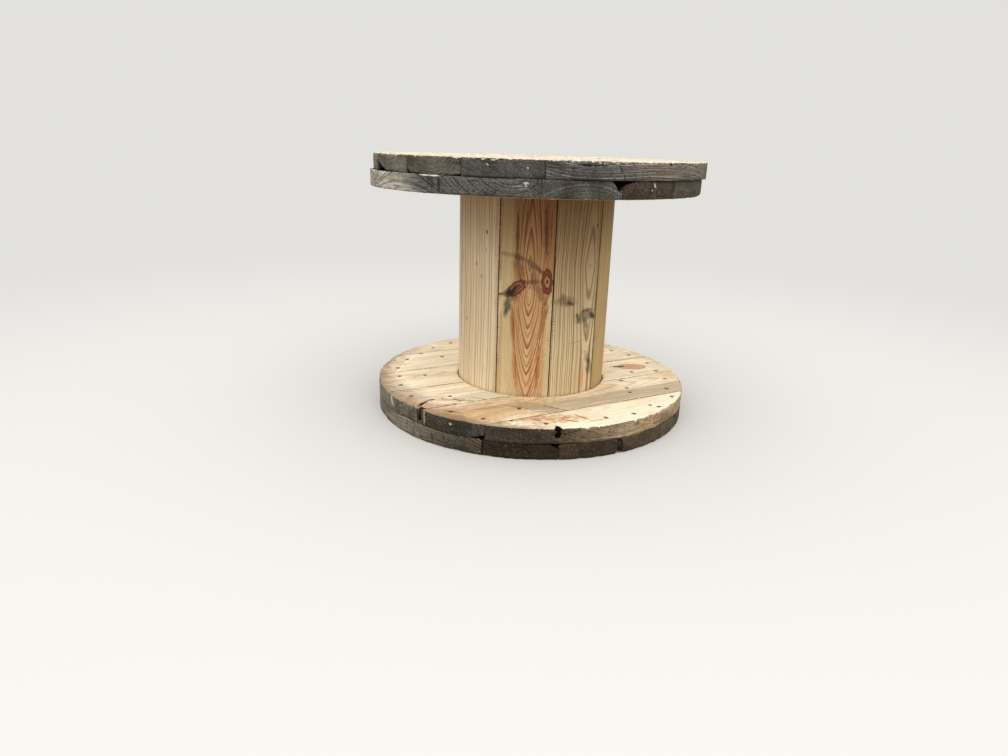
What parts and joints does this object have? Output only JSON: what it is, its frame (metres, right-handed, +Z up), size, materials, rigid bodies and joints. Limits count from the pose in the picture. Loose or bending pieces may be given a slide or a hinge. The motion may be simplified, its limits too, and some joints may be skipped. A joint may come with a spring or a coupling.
{
  "type": "wooden cable drum",
  "caption": "Round-flanged wooden cable drum: cross-laid board flanges, a grooved-in barrel of round-milled staves, and sunk tie bolts.",
  "frame": {"origin": "middle of the underside of the lower flange, on the spindle axis", "axes": "+Z up along the spindle axis; the side that the picture shows faces -Y"},
  "size_m": [0.77, 0.762, 0.6],
  "materials": {
    "weathered_wood": "rough-sawn pine, sun-bleached faces, grey weathered rims",
    "pine": "planed pine, knots and mildew stains",
    "steel": "dull zinc with light rust"
  },
  "bodies": {
    "root": {"lower_outer_board_1": "weathered_wood", "lower_outer_board_2": "weathered_wood", "lower_outer_board_3": "weathered_wood", "lower_outer_board_4": "weathered_wood", "lower_outer_board_5": "weathered_wood", "lower_outer_board_6": "weathered_wood", "lower_inner_board_1": "weathered_wood", "lower_inner_board_2": "weathered_wood", "lower_inner_board_3": "weathered_wood", "lower_inner_board_4": "weathered_wood", "lower_inner_board_5": "weathered_wood", "lower_inner_board_6": "weathered_wood", "upper_inner_board_1": "weathered_wood", "upper_inner_board_2": "weathered_wood", "upper_inner_board_3": "weathered_wood", "upper_inner_board_4": "weathered_wood", "upper_inner_board_5": "weathered_wood", "upper_inner_board_6": "weathered_wood", "upper_outer_board_1": "weathered_wood", "upper_outer_board_2": "weathered_wood", "upper_outer_board_3": "weathered_wood", "upper_outer_board_4": "weathered_wood", "upper_outer_board_5": "weathered_wood", "upper_outer_board_6": "weathered_wood", "stave_1": "pine", "stave_2": "pine", "stave_3": "pine", "stave_4": "pine", "stave_5": "pine", "stave_6": "pine", "stave_7": "pine", "stave_8": "pine", "stave_9": "pine", "tie_bolt_1": "steel", "tie_bolt_nut_1": "steel", "lower_washer_1": "steel", "upper_washer_1": "steel", "tie_bolt_2": "steel", "tie_bolt_nut_2": "steel", "lower_washer_2": "steel", "upper_washer_2": "steel", "tie_bolt_3": "steel", "tie_bolt_nut_3": "steel", "lower_washer_3": "steel", "upper_washer_3": "steel", "tie_bolt_4": "steel", "tie_bolt_nut_4": "steel", "lower_washer_4": "steel", "upper_washer_4": "steel"}
  },
  "joints": []
}
